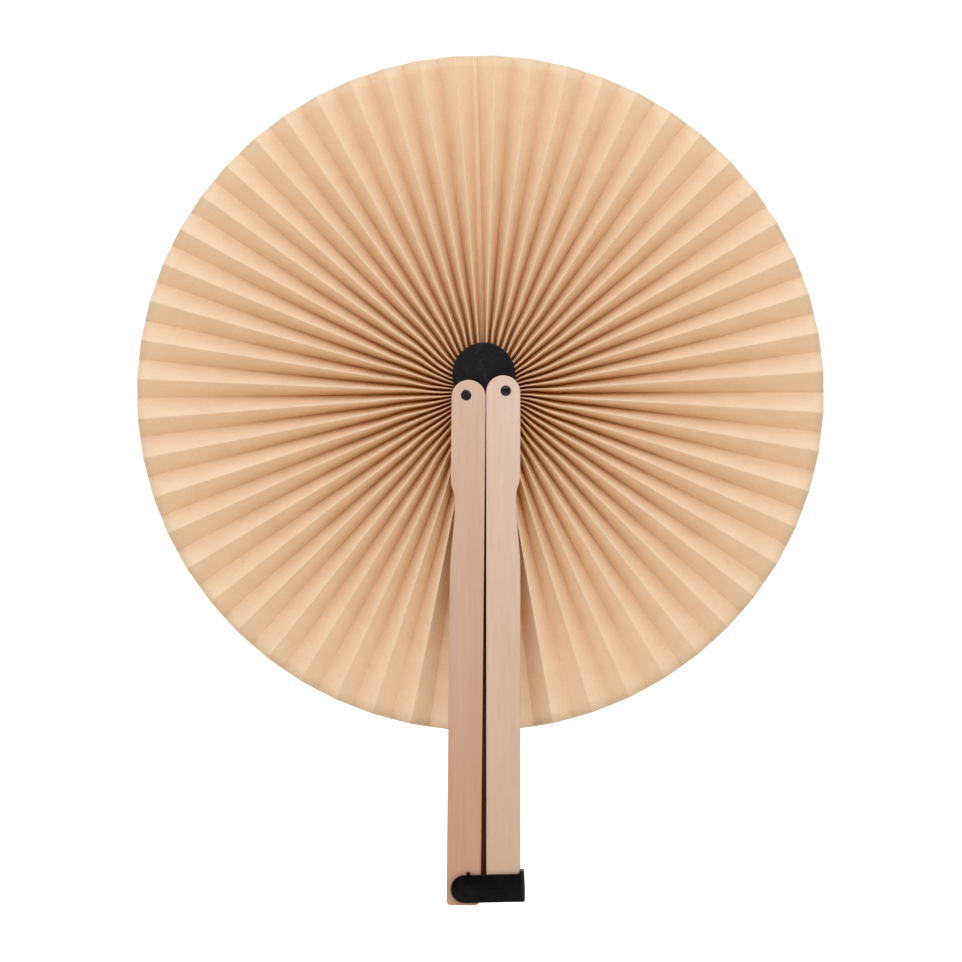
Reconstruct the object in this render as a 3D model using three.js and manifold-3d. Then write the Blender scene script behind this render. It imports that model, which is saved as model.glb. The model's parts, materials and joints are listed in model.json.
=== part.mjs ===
// Round pleated hand fan that opens to a full disc, with two wooden arms that meet as its handle.
// Millimetres, +Z up, the front faces -Y. The origin is in the middle of the grip.
import * as THREE from 'three';
import { mergeVertices } from 'three/addons/utils/BufferGeometryUtils.js';
import Module from 'manifold-3d';

const wasm = await Module();
wasm.setup();

// Hub: two plastic plates in front of and behind the paper, with a pivot for each arm
const HUB_HEIGHT = 154;
const HUB_TILT = 6.5;
const PIVOT_PITCH = 14.5;
const DOME_RADIUS = 11.42;
const DOME_RISE = 7.05;
const HUB_BASE = 5.5;
const HUB_CORNER = 3;
const POST_RADIUS = 1.6;
const STUD_RADIUS = 1.75;
const STUD_CROWN = 0.3;
const STUD_END_INSET = 0.2;
const STUD_RIM_INSET = 0.1;
const PIVOT_CLEARANCE = 0.15;

// Depth of the layers, each measured forwards and backwards from the middle of the fan
const LEAF_WIDTH = 9.4;
const PLATE_INNER = 5.0;
const PLATE_THICKNESS = 1.4;
const SLAT_THICKNESS = 1.9;
const GAP = 0.3;
const PLATE_OUTER = PLATE_INNER + PLATE_THICKNESS;
const SLAT_INNER = PLATE_OUTER + GAP;
const SLAT_OUTER = SLAT_INNER + SLAT_THICKNESS;

// Arms: a front and a back slat joined by a core strip and a grip block, open on the paper's side
const ARM_BELOW_PIVOT = 185.5;
const ARM_ABOVE_PIVOT = 5.6;
const PIVOT_TO_OUTER_EDGE = 5.3;
const PIVOT_TO_INNER_EDGE = 7.14;
const OUTER_CORNER = 1.5;
const INNER_CORNER = 2.3;
const WAIST_DEPTH = 1.6;
const WAIST_TOP = 30;
const WAIST_NARROWEST = 39.5;
const WAIST_BOTTOM = 66.5;
const WAIST_TOP_HANDLE = 4;
const WAIST_UPPER_HANDLE = 4.5;
const WAIST_LOWER_HANDLE = 8;
const WAIST_BOTTOM_HANDLE = 10;
const BLOCK_INSET = 0.4;
const CORE_GAP = 0.3;
const CORE_THICKNESS = 2;
const CORE_TOP = 24;
const TONGUE_TOP = 5;
const TONGUE_HALF_DEPTH = 4.2;
const REBATE_WIDTH = 1.0;
const REBATE_DEPTH = 6;
const GRIP_BLOCK_TOP = 126.5;
const LEFT_SPLAY = 0.58;
const RIGHT_SPLAY = 0.02;
const MEETING_LEAN = (LEFT_SPLAY - RIGHT_SPLAY) / 2;

// Paper: one pleated sheet on each side, glued together at the top and glued to the arms below
const RIM_HALF_WIDTH = 125.1;
const RIM_HALF_HEIGHT = 123.0;
const RIM_SHIFT = -2.0;
const PAPER_INNER_RADIUS = 6;
const PAPER_DEPTH = 0.5;
const FOLDS = 54;
const FIRST_RIDGE = 3.24;
const FOLD_STEP = 3.011;
const LEFT_STEP_GROWTH = 0.00986;
const RIGHT_STEP_GROWTH = 0.01044;
const FOLD_STEP_EASING = 0.00008;
const MEAN_FOLD_STEP = 3.32;
const LAST_FOLD = 179.7;
const LAST_FOLD_OFFSET = 3.0;
const JOIN_FOOT = -0.8;
const JOIN_LEAN = -1.5;
const JOIN_HALF_WIDTH = 0.9;
const JOIN_FLANGE = 1.6;
const JOIN_STEP = 0.9;
const RING_OFFSET = 0.3;
const RING_SPREAD = 2.8;
const RADIAL_STEPS = [0, 0.12, 0.32, 0.6, 1];
const THREAD_HALF_WIDTH = 5.4;
const THREAD_HALF_HEIGHT = 3.3;
const THREAD_SIZE = 0.8;

// Clasp: a U-shaped strap that turns on the left arm and hooks round the right arm
const CLASP_ABOVE_END = 6.0;
const CLASP_TO_OUTER_EDGE = 6.67;
const CLASP_HALF_HEIGHT = 5.14;
const CLASP_REACH = 20.52;
const CLASP_WALL = 1.2;
const CLASP_CORNER = 1.8;
const END_WALL_RISE = 1.2;
const END_WALL_ROUND = 0.8;
const CLASP_TILT = 1.83;
const PIP_RADIUS = 1.4;
const PIP_LENGTH = 2.0;
const LUG_WIDTH = 1.5;
const LUG_HEIGHT = 1.0;
const LUG_OFFSET = 1.35;

const ROUND_SEGMENTS = 24;
const SAME_POINT = 1e-4;
const CUT_MARGIN = 1;

const maple = new THREE.MeshStandardMaterial({ color: 0xdcbfa2, roughness: 0.6 });
const pinkMaple = new THREE.MeshStandardMaterial({ color: 0xcda78a, roughness: 0.6 });
const kraft = new THREE.MeshStandardMaterial({ color: 0xe0b98c, roughness: 0.9 });
const blackPlastic = new THREE.MeshStandardMaterial({ color: 0x1c1c1e, roughness: 0.45 });
const thread = new THREE.MeshStandardMaterial({ color: 0xc9a878, roughness: 0.9 });

function radians(degrees) {
  return THREE.MathUtils.degToRad(degrees);
}

function named(name, geometry, material) {
  const mesh = new THREE.Mesh(geometry, material);
  mesh.name = name;
  return mesh;
}

// A curve's points in the given sense, without those that repeat where two stretches of it meet
function distinct(points, clockwise) {
  const kept = points.filter((point, n) => {
    const before = points[(n + points.length - 1) % points.length];
    return point.distanceTo(before) > SAME_POINT;
  });
  return THREE.ShapeUtils.isClockWise(kept) === clockwise ? kept : kept.reverse();
}

// A flat piece: an outline in X and Z with a thickness along Y
function slab(outline, low, high) {
  const points = outline.extractPoints(ROUND_SEGMENTS / 2);
  const plain = new THREE.Shape(distinct(points.shape, false));
  plain.holes = points.holes.map((hole) => new THREE.Path(distinct(hole, true)));
  const geometry = new THREE.ExtrudeGeometry(plain, { depth: high - low, bevelEnabled: false });
  return geometry.rotateX(Math.PI / 2).translate(0, high, 0);
}

// A block between two corners; x0 and x1 may come in either order
function box(x0, x1, y0, y1, z0, z1) {
  const geometry = new THREE.BoxGeometry(Math.abs(x1 - x0), y1 - y0, z1 - z0);
  return geometry.translate((x0 + x1) / 2, (y0 + y1) / 2, (z0 + z1) / 2);
}

function roundHole(x, z, radius) {
  const hole = new THREE.Path();
  hole.absarc(x, z, radius, 0, Math.PI * 2, true);
  return hole;
}

// A turned piece whose axis runs along Y, from a profile of (radius, height) points
function turned(profile) {
  const points = profile.map(([radius, height]) => new THREE.Vector2(radius, height));
  return new THREE.LatheGeometry(points, ROUND_SEGMENTS);
}

function solid(geometry) {
  const bare = geometry.clone();
  bare.deleteAttribute('normal');
  bare.deleteAttribute('uv');
  const merged = mergeVertices(bare, SAME_POINT);
  const vertProperties = new Float32Array(merged.attributes.position.array);
  const triVerts = new Uint32Array(merged.index.array);
  return new wasm.Manifold(new wasm.Mesh({ numProp: 3, vertProperties, triVerts }));
}

function geometryOf(manifold) {
  const mesh = manifold.getMesh();
  const geometry = new THREE.BufferGeometry();
  geometry.setAttribute('position', new THREE.BufferAttribute(new Float32Array(mesh.vertProperties), 3));
  geometry.setIndex(new THREE.BufferAttribute(new Uint32Array(mesh.triVerts), 1));
  return geometry;
}

// ---- Arms. Their frame has its origin on the pivot, and they hang down. side is -1 left, 1 right. ----

function slatOutline(side) {
  const outer = side * PIVOT_TO_OUTER_EDGE;
  const inner = -side * PIVOT_TO_INNER_EDGE;
  const waist = outer - side * WAIST_DEPTH;
  const middle = (outer + inner) / 2;
  const radius = (PIVOT_TO_OUTER_EDGE + PIVOT_TO_INNER_EDGE) / 2;
  const shoulder = ARM_ABOVE_PIVOT - radius;
  const end = -ARM_BELOW_PIVOT;
  const outline = new THREE.Shape();
  outline.moveTo(inner, end + INNER_CORNER);
  outline.lineTo(inner, shoulder);
  outline.absarc(middle, shoulder, radius, side > 0 ? Math.PI : 0, side > 0 ? 0 : Math.PI, side > 0);
  outline.lineTo(outer, -WAIST_TOP);
  outline.bezierCurveTo(
    outer, -WAIST_TOP - WAIST_TOP_HANDLE,
    waist, -WAIST_NARROWEST + WAIST_UPPER_HANDLE,
    waist, -WAIST_NARROWEST,
  );
  outline.bezierCurveTo(
    waist, -WAIST_NARROWEST - WAIST_LOWER_HANDLE,
    outer, -WAIST_BOTTOM + WAIST_BOTTOM_HANDLE,
    outer, -WAIST_BOTTOM,
  );
  outline.lineTo(outer, end + OUTER_CORNER);
  outline.quadraticCurveTo(outer, end, outer - side * OUTER_CORNER, end);
  outline.lineTo(inner + side * INNER_CORNER, end);
  outline.quadraticCurveTo(inner, end, inner, end + INNER_CORNER);
  return outline;
}

function slat(side, low, high, hasClasp) {
  const outline = slatOutline(side);
  outline.holes.push(roundHole(0, 0, STUD_RADIUS + PIVOT_CLEARANCE));
  if (hasClasp) {
    const pivot = claspPivot();
    outline.holes.push(roundHole(pivot.x, pivot.z, PIP_RADIUS + PIVOT_CLEARANCE));
  }
  return slab(outline, low, high);
}

// A core strip joins the slats and takes the paper's glued end leaf. A tongue above it, narrow enough
// to pass between the hub plates, carries the leaf on to the hub. The two arms' strips are parallel, and
// halve the angle between the arms, so that the arms meet on them although the slats splay a little; in
// front they are set back from each other, which leaves the slit between the arms deep.
function coreStrip(side) {
  const depth = SLAT_INNER - GAP;
  const low = -ARM_BELOW_PIVOT + BLOCK_INSET;
  const meeting = side * (CORE_GAP / 2 - pivotPlace(side).x * side);
  const outline = new THREE.Shape();
  outline.moveTo(-depth, low);
  outline.lineTo(depth, low);
  outline.lineTo(depth, -CORE_TOP);
  outline.lineTo(TONGUE_HALF_DEPTH, -CORE_TOP);
  outline.lineTo(TONGUE_HALF_DEPTH, -TONGUE_TOP);
  outline.lineTo(-TONGUE_HALF_DEPTH, -TONGUE_TOP);
  outline.lineTo(-TONGUE_HALF_DEPTH, -CORE_TOP);
  outline.lineTo(-depth, -CORE_TOP);
  const strip = new THREE.ExtrudeGeometry(outline, { depth: CORE_THICKNESS, bevelEnabled: false });
  strip.rotateX(Math.PI / 2).rotateZ(Math.PI / 2);
  strip.translate(side > 0 ? meeting : meeting - CORE_THICKNESS, 0, 0);
  const front = -depth - CUT_MARGIN;
  const rebate = box(
    meeting - side * CUT_MARGIN, meeting + side * REBATE_WIDTH,
    front, -depth + REBATE_DEPTH,
    low - CUT_MARGIN, -CORE_TOP,
  );
  return geometryOf(solid(strip).subtract(solid(rebate)));
}

function gripBlock(side) {
  const depth = SLAT_INNER - GAP;
  const inner = -side * (PIVOT_TO_INNER_EDGE - CORE_THICKNESS - GAP * 2);
  const outer = side * (PIVOT_TO_OUTER_EDGE - BLOCK_INSET);
  return box(inner, outer, -depth, depth, -ARM_BELOW_PIVOT + BLOCK_INSET, -GRIP_BLOCK_TOP);
}

// Where an arm's pivot lies from the middle of the hub, which sits a little askew on the arms
function pivotPlace(side) {
  const tilt = radians(HUB_TILT);
  const reach = side * PIVOT_PITCH / 2;
  return new THREE.Vector3(reach * Math.cos(tilt), 0, reach * Math.sin(tilt));
}

function arm(name, side, splay, hasClasp, wood) {
  const group = new THREE.Group();
  const front = slat(side, -SLAT_OUTER, -SLAT_INNER, hasClasp);
  const back = slat(side, SLAT_INNER, SLAT_OUTER, hasClasp);
  group.add(named(`${name}_front_slat`, front, wood));
  group.add(named(`${name}_back_slat`, back, wood));
  const core = named(`${name}_core_strip`, coreStrip(side), wood);
  core.rotation.y = radians(MEETING_LEAN + side * splay);
  group.add(core);
  group.add(named(`${name}_grip_block`, gripBlock(side), wood));
  group.position.copy(pivotPlace(side));
  group.rotation.y = -side * radians(splay);
  return group;
}

// ---- Hub. Its frame has its origin midway between the pivots. ----

function hubOutline() {
  const outline = new THREE.Shape();
  outline.moveTo(-DOME_RADIUS + HUB_CORNER, -HUB_BASE);
  outline.lineTo(DOME_RADIUS - HUB_CORNER, -HUB_BASE);
  outline.quadraticCurveTo(DOME_RADIUS, -HUB_BASE, DOME_RADIUS, -HUB_BASE + HUB_CORNER);
  outline.lineTo(DOME_RADIUS, DOME_RISE);
  outline.absarc(0, DOME_RISE, DOME_RADIUS, 0, Math.PI, false);
  outline.lineTo(-DOME_RADIUS, -HUB_BASE + HUB_CORNER);
  outline.quadraticCurveTo(-DOME_RADIUS, -HUB_BASE, -DOME_RADIUS + HUB_CORNER, -HUB_BASE);
  for (const side of [-1, 1]) {
    outline.holes.push(roundHole(side * PIVOT_PITCH / 2, 0, STUD_RADIUS + PIVOT_CLEARANCE));
  }
  return outline;
}

// A pivot stud with a crowned outer end; way is -1 for the front of the fan, 1 for the back
function pivotStud(way) {
  const end = PLATE_INNER + STUD_END_INSET;
  const rim = SLAT_OUTER - STUD_RIM_INSET;
  const crown = [0, 30, 60].map((turn) => {
    const angle = radians(turn);
    return [STUD_RADIUS * Math.cos(angle), rim + STUD_CROWN * Math.sin(angle)];
  });
  const profile = [[0, end], [STUD_RADIUS, end], ...crown, [0, rim + STUD_CROWN]];
  const geometry = turned(profile);
  return way > 0 ? geometry : geometry.rotateX(Math.PI);
}

function bindingThread() {
  const ring = new THREE.Shape();
  ring.absellipse(0, 0, THREAD_HALF_WIDTH, THREAD_HALF_HEIGHT, 0, Math.PI * 2);
  const inside = new THREE.Path();
  const half = THREAD_HALF_WIDTH - THREAD_SIZE;
  inside.absellipse(0, 0, half, THREAD_HALF_HEIGHT - THREAD_SIZE, 0, Math.PI * 2, true);
  ring.holes.push(inside);
  return slab(ring, -THREAD_SIZE / 2, THREAD_SIZE / 2);
}

function hub() {
  const group = new THREE.Group();
  const postHalf = PLATE_INNER - GAP;
  const post = new THREE.CylinderGeometry(POST_RADIUS, POST_RADIUS, postHalf * 2, ROUND_SEGMENTS);
  group.add(named('hub_front_plate', slab(hubOutline(), -PLATE_OUTER, -PLATE_INNER), blackPlastic));
  group.add(named('hub_back_plate', slab(hubOutline(), PLATE_INNER, PLATE_OUTER), blackPlastic));
  group.add(named('hub_post', post, blackPlastic));
  group.add(named('binding_thread', bindingThread(), thread));
  for (const [face, way] of [['front', -1], ['back', 1]]) {
    for (const [name, side] of [['left', -1], ['right', 1]]) {
      const stud = named(`${name}_${face}_pivot_stud`, pivotStud(way), blackPlastic);
      stud.position.x = side * PIVOT_PITCH / 2;
      group.add(stud);
    }
  }
  group.rotation.y = -radians(HUB_TILT);
  return group;
}

// ---- Paper. A fold is a straight line that starts x from the hub's middle and leans to angle. ----
// Where the two sheets join, the folds lean a little to the left; lower down they stand evenly.

function foldLines(side) {
  const lean = radians(JOIN_LEAN);
  const forward = side < 0 ? JOIN_STEP : 0;
  const growth = side < 0 ? LEFT_STEP_GROWTH : RIGHT_STEP_GROWTH;
  const lines = [
    { x: JOIN_FOOT + side * (JOIN_HALF_WIDTH - JOIN_FLANGE), angle: lean, way: 1, forward },
    { x: JOIN_FOOT + side * JOIN_HALF_WIDTH, angle: lean, way: 1, forward },
  ];
  for (let n = 0; n < FOLDS - 1; n += 1) {
    const turn = FIRST_RIDGE + FOLD_STEP * n + growth * n ** 2 - FOLD_STEP_EASING * n ** 3;
    const atTop = 1 - turn / 180;
    const ring = RING_OFFSET + RING_SPREAD * Math.sin(radians(turn / 2));
    const angle = radians(side * turn + JOIN_LEAN * atTop);
    lines.push({ x: side * ring + JOIN_FOOT * atTop, angle, way: n % 2 ? 1 : -1, forward: 0 });
  }
  lines.push({ x: side * LAST_FOLD_OFFSET, angle: side * radians(LAST_FOLD), way: 1, forward: 0 });
  return lines;
}

// How far along a fold the oval rim lies
function rimDistance(line) {
  const x = line.x - RIM_SHIFT;
  const across = Math.sin(line.angle) / RIM_HALF_WIDTH;
  const up = Math.cos(line.angle) / RIM_HALF_HEIGHT;
  const start = x / RIM_HALF_WIDTH;
  const a = across * across + up * up;
  const b = start * across;
  return (-b + Math.sqrt(b * b - a * (start * start - 1))) / a;
}

// A leaf keeps its width, so the pleats are deep at the hub and shallower at the rim
function pleatHalfDepth(radius) {
  const step = radius * radians(MEAN_FOLD_STEP);
  return Math.sqrt(LEAF_WIDTH * LEAF_WIDTH - step * step) / 2;
}

function foldPoint(line, share, layer) {
  const radius = PAPER_INNER_RADIUS + share * (rimDistance(line) - PAPER_INNER_RADIUS);
  const y = line.way * pleatHalfDepth(radius) - line.forward + layer * PAPER_DEPTH / 2;
  return [line.x + radius * Math.sin(line.angle), y, radius * Math.cos(line.angle)];
}

function pleatedSheet(side) {
  const lines = foldLines(side);
  const rows = RADIAL_STEPS.length;
  const positions = [];
  for (const layer of [-1, 1]) {
    for (const line of lines) {
      for (const share of RADIAL_STEPS) {
        positions.push(...foldPoint(line, share, layer));
      }
    }
  }
  const at = (layer, fold, row) => (layer * lines.length + fold) * rows + row;
  const index = [];
  const quad = (a, b, c, d) => {
    index.push(...(side > 0 ? [a, b, c, a, c, d] : [a, c, b, a, d, c]));
  };
  const lastFold = lines.length - 1;
  const lastRow = rows - 1;
  for (let fold = 0; fold < lastFold; fold += 1) {
    for (let row = 0; row < lastRow; row += 1) {
      quad(at(0, fold, row), at(0, fold + 1, row), at(0, fold + 1, row + 1), at(0, fold, row + 1));
      quad(at(1, fold, row), at(1, fold, row + 1), at(1, fold + 1, row + 1), at(1, fold + 1, row));
    }
    quad(at(0, fold, 0), at(1, fold, 0), at(1, fold + 1, 0), at(0, fold + 1, 0));
    quad(at(0, fold, lastRow), at(0, fold + 1, lastRow), at(1, fold + 1, lastRow), at(1, fold, lastRow));
  }
  for (let row = 0; row < lastRow; row += 1) {
    quad(at(0, 0, row), at(0, 0, row + 1), at(1, 0, row + 1), at(1, 0, row));
    quad(at(0, lastFold, row), at(1, lastFold, row), at(1, lastFold, row + 1), at(0, lastFold, row + 1));
  }
  const geometry = new THREE.BufferGeometry();
  geometry.setAttribute('position', new THREE.Float32BufferAttribute(positions, 3));
  geometry.setIndex(index);
  return geometry;
}

// ---- Clasp. Its frame has its origin on its pivot, and its hook points to the right. ----

function claspPivot() {
  const x = CLASP_TO_OUTER_EDGE - PIVOT_TO_OUTER_EDGE;
  return new THREE.Vector3(x, 0, CLASP_ABOVE_END - ARM_BELOW_PIVOT);
}

// The strap from the side: its end wall stands a little above the cheeks
function claspSideOutline() {
  const outline = new THREE.Shape();
  const right = CLASP_REACH + CLASP_WALL;
  const wallTop = CLASP_HALF_HEIGHT + END_WALL_RISE;
  const lugLeft = LUG_OFFSET - LUG_WIDTH / 2;
  const lugRight = LUG_OFFSET + LUG_WIDTH / 2;
  outline.moveTo(0, -CLASP_HALF_HEIGHT);
  outline.lineTo(right, -CLASP_HALF_HEIGHT);
  outline.lineTo(right, wallTop - END_WALL_ROUND);
  outline.quadraticCurveTo(right, wallTop, right - END_WALL_ROUND, wallTop);
  outline.lineTo(CLASP_REACH, wallTop);
  outline.lineTo(CLASP_REACH - END_WALL_ROUND, CLASP_HALF_HEIGHT);
  outline.lineTo(lugRight, CLASP_HALF_HEIGHT);
  outline.lineTo(lugRight, CLASP_HALF_HEIGHT + LUG_HEIGHT);
  outline.lineTo(lugLeft, CLASP_HALF_HEIGHT + LUG_HEIGHT);
  outline.lineTo(lugLeft, CLASP_HALF_HEIGHT);
  outline.lineTo(0, CLASP_HALF_HEIGHT);
  outline.absarc(0, 0, CLASP_HALF_HEIGHT, Math.PI / 2, Math.PI * 1.5, false);
  return outline;
}

// The strap seen from above: two cheeks joined by the hook's end wall
function claspTopOutline() {
  const outline = new THREE.Shape();
  const left = -CLASP_HALF_HEIGHT - CUT_MARGIN;
  const right = CLASP_REACH + CLASP_WALL;
  const inside = SLAT_OUTER + GAP;
  const outside = inside + CLASP_WALL;
  outline.moveTo(left, -outside);
  outline.lineTo(right - CLASP_CORNER, -outside);
  outline.quadraticCurveTo(right, -outside, right, -outside + CLASP_CORNER);
  outline.lineTo(right, outside - CLASP_CORNER);
  outline.quadraticCurveTo(right, outside, right - CLASP_CORNER, outside);
  outline.lineTo(left, outside);
  outline.lineTo(left, inside);
  outline.lineTo(CLASP_REACH, inside);
  outline.lineTo(CLASP_REACH, -inside);
  outline.lineTo(left, -inside);
  return outline;
}

function clasp() {
  const height = (CLASP_HALF_HEIGHT + END_WALL_RISE + CUT_MARGIN) * 2;
  const outside = SLAT_OUTER + GAP + CLASP_WALL;
  const strap = new THREE.ExtrudeGeometry(claspTopOutline(), {
    depth: height,
    bevelEnabled: false,
    curveSegments: 4,
  }).translate(0, 0, -height / 2);
  const sides = slab(claspSideOutline(), -outside - CUT_MARGIN, outside + CUT_MARGIN);
  let body = solid(strap).intersect(solid(sides));
  for (const way of [-1, 1]) {
    const root = SLAT_OUTER + GAP + CLASP_WALL / 2;
    const tip = SLAT_OUTER + GAP - PIP_LENGTH;
    const pip = new THREE.CylinderGeometry(PIP_RADIUS, PIP_RADIUS, root - tip, ROUND_SEGMENTS);
    body = body.add(solid(pip.translate(0, way * (root + tip) / 2, 0)));
  }
  return geometryOf(body);
}

// ---- The fan ----

const leftArm = arm('left', -1, LEFT_SPLAY, true, pinkMaple);
const hook = named('clasp', clasp(), blackPlastic);
hook.position.copy(claspPivot());
hook.rotation.y = -radians(CLASP_TILT);
leftArm.add(hook);

const fan = new THREE.Group();
fan.add(leftArm);
fan.add(arm('right', 1, RIGHT_SPLAY, false, maple));
fan.add(hub());
fan.add(named('left_pleated_paper', pleatedSheet(-1), kraft));
fan.add(named('right_pleated_paper', pleatedSheet(1), kraft));
fan.position.z = HUB_HEIGHT;
fan.updateMatrixWorld(true);

export default fan;
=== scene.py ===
"""Looks for a round hand fan of pleated kraft paper with two wooden arms.

Shapes are built in millimetres in the frame of the CAD model (+Z up, the front faces -Y) and
turned into metres as each mesh is made. x is to the right, seen from the front.
"""

import json
import math

import bmesh
import bpy
import numpy as np
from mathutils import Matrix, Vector


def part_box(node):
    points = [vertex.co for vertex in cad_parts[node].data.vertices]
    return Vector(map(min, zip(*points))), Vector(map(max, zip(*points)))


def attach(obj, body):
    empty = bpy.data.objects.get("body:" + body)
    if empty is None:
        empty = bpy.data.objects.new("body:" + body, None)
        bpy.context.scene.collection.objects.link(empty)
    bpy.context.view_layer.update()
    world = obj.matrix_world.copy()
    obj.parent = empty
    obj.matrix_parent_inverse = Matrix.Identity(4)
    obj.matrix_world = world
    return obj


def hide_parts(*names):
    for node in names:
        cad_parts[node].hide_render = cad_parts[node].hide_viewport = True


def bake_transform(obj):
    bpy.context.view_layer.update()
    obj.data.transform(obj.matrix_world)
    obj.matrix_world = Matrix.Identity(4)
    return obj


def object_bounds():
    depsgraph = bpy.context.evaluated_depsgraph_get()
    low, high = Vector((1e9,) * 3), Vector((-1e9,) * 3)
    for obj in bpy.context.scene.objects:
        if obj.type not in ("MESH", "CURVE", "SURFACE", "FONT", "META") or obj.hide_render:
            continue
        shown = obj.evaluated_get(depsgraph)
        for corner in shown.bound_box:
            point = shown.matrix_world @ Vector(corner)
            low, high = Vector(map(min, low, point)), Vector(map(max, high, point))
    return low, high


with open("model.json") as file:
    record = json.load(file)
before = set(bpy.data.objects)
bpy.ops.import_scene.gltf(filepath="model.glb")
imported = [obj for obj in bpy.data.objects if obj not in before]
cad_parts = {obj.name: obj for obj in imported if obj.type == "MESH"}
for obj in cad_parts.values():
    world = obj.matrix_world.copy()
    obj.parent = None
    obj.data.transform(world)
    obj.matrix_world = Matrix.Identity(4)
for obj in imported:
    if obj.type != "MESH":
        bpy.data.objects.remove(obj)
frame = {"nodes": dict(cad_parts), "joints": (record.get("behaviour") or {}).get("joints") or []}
CAD_LOW, CAD_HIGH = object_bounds()

MM = 0.001
LEFT, RIGHT = -1, 1
NAMES = {LEFT: "left", RIGHT: "right"}


def place_of(joint):
    """A joint's point in the frame, in millimetres."""
    found = next(j for j in frame["joints"] if j["name"] == joint)
    return np.array(found["pos_m"], float) / MM


def depths_of(node):
    """How far a node's near and far faces lie from the middle of the fan, in millimetres."""
    low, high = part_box(node)
    return sorted((abs(low.y) / MM, abs(high.y) / MM))


# Places and depths taken from the frame
PIVOT = {LEFT: place_of("left_fold"), RIGHT: place_of("right_fold")}
HUB = (PIVOT[LEFT] + PIVOT[RIGHT]) / 2
HUB_TILT = math.atan2(PIVOT[RIGHT][2] - PIVOT[LEFT][2], PIVOT[RIGHT][0] - PIVOT[LEFT][0])
PIVOT_PITCH = float(np.linalg.norm(PIVOT[RIGHT] - PIVOT[LEFT]))
CLASP_PIVOT = place_of("clasp_swing")
SLAT_INNER, SLAT_OUTER = depths_of("left_front_slat")
PLATE_INNER, PLATE_OUTER = depths_of("hub_front_plate")
FOLD_RANGE = {
    side: next(j for j in frame["joints"] if j["name"] == f"{NAMES[side]}_fold")["range_deg"][1]
    for side in (LEFT, RIGHT)
}

# Hub plates and studs
DOME_RADIUS = 11.42
DOME_RISE = 7.05
HUB_BASE = 5.5
HUB_CORNER = 3.0
PLATE_EDGE = 0.4
STUD_RADIUS = 1.75
STUD_HOLE = 1.9
STUD_HEAD = 1.86
STUD_CROWN = 0.42
STUD_BEVEL = 0.15
STUD_START = 0.2
STUD_HEAD_GAP = 0.03
SHANK_MARGINS = (0.4, 0.02)
PRESSED_HEAD = 1.80
PRESSED_CROWN = 0.22
NIB_ANGLE, NIB_SPREAD, NIB_HEIGHT = 98, 17, 0.2
THREAD_HALF_WIDTH = 5.0
THREAD_HALF_HEIGHT = 2.9
STRANDS = 3
STRAND_RADIUS = 0.22
STRAND_TURNS = 22
STRAND_STEPS = 264
STRAND_SIDES = 8

# Arms, measured from the pivot
ARM_BELOW_PIVOT = 185.5
ARM_ABOVE_PIVOT = 5.6
PIVOT_TO_OUTER_EDGE = 5.3
PIVOT_TO_INNER_EDGE = 7.14
OUTER_CORNER = 1.5
INNER_CORNER = 2.3
WAIST_DEPTH = 1.6
WAIST_TOP = 30.0
WAIST_NARROWEST = 39.5
WAIST_BOTTOM = 66.5
WAIST_HANDLES = (4.0, 4.5, 8.0, 10.0)
SLAT_EDGE = 0.5
HOLE_EDGE = 0.12
EDGE_STEPS = 4
SPLAY = {LEFT: math.radians(0.58), RIGHT: math.radians(0.02)}
MEETING_LEAN = (SPLAY[LEFT] - SPLAY[RIGHT]) / 2
CORE_TOP = 24.0
CORE_OUTER = 2.15
CORE_EDGE = 0.08
REBATE_WIDTH = 1.15
REBATE_DEPTH = 6.0
TONGUE_TOP = 5.0
TONGUE_HALF_DEPTH = 4.2
GRIP_TOP = 126.5
BLOCK_INSET = 0.4
BLOCK_EDGE = 0.35
GLUE_GAP = 0.02
OVERLAP = 0.3

# Paper
RIM_HALF_WIDTH = 125.1
RIM_HALF_HEIGHT = 123.0
RIM_SHIFT = -2.0
LEAF_WIDTH = 9.4
PAPER_INNER_RADIUS = 4.5
PAPER_THICKNESS = 0.15
FOLDS = 54
FIRST_RIDGE = 3.24
FOLD_STEP = 3.011
FOLD_STEP_GROWTH = {LEFT: 0.00986, RIGHT: 0.01044}
FOLD_STEP_EASING = 0.00008
LAST_FOLD = 179.7
LAST_FOLD_OFFSET = 3.0
JOIN_FOOT = -0.8
JOIN_LEAN = -1.5
JOIN_HALF_WIDTH = 0.9
JOIN_FLANGE = 1.6
JOIN_STEP = 0.22
RING_OFFSET = 0.3
RING_SPREAD = 2.8
FLAP_GAP = 0.25
FLAP_DROP = 0.45
FLAP_MARGIN = 1.0

# Clasp, measured from its pivot
CLASP_HALF_HEIGHT = 5.14
CLASP_REACH = 20.52
CLASP_WALL = 1.2
CLASP_GAP = 0.3
CLASP_BEND = 1.4
END_WALL_RISE = 1.2
CLASP_EDGE = 0.32
CLASP_CROWN = 0.16
CLASP_TURN = math.radians(-1.83) + SPLAY[LEFT]
LUG_LEFT, LUG_RIGHT, LUG_HEIGHT, LUG_TAPER = 0.6, 2.1, 1.0, 0.1
PIP_RADIUS = 1.4
PIP_CLEARANCE = 0.15
PIP_LENGTH = 2.0
PIP_CHAMFER = 0.25
CUT_MARGIN = 1.5
CUT_HALF_HEIGHT = 4.0


# ---- Meshes ----

def turned_about_y(points, angle):
    """Points turned about +Y, as a three.js rotation.y turns them."""
    c, s = math.cos(angle), math.sin(angle)
    points = np.asarray(points, float)
    x, y, z = points.T
    return np.stack([x * c + z * s, y, -x * s + z * c], 1)


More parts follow.
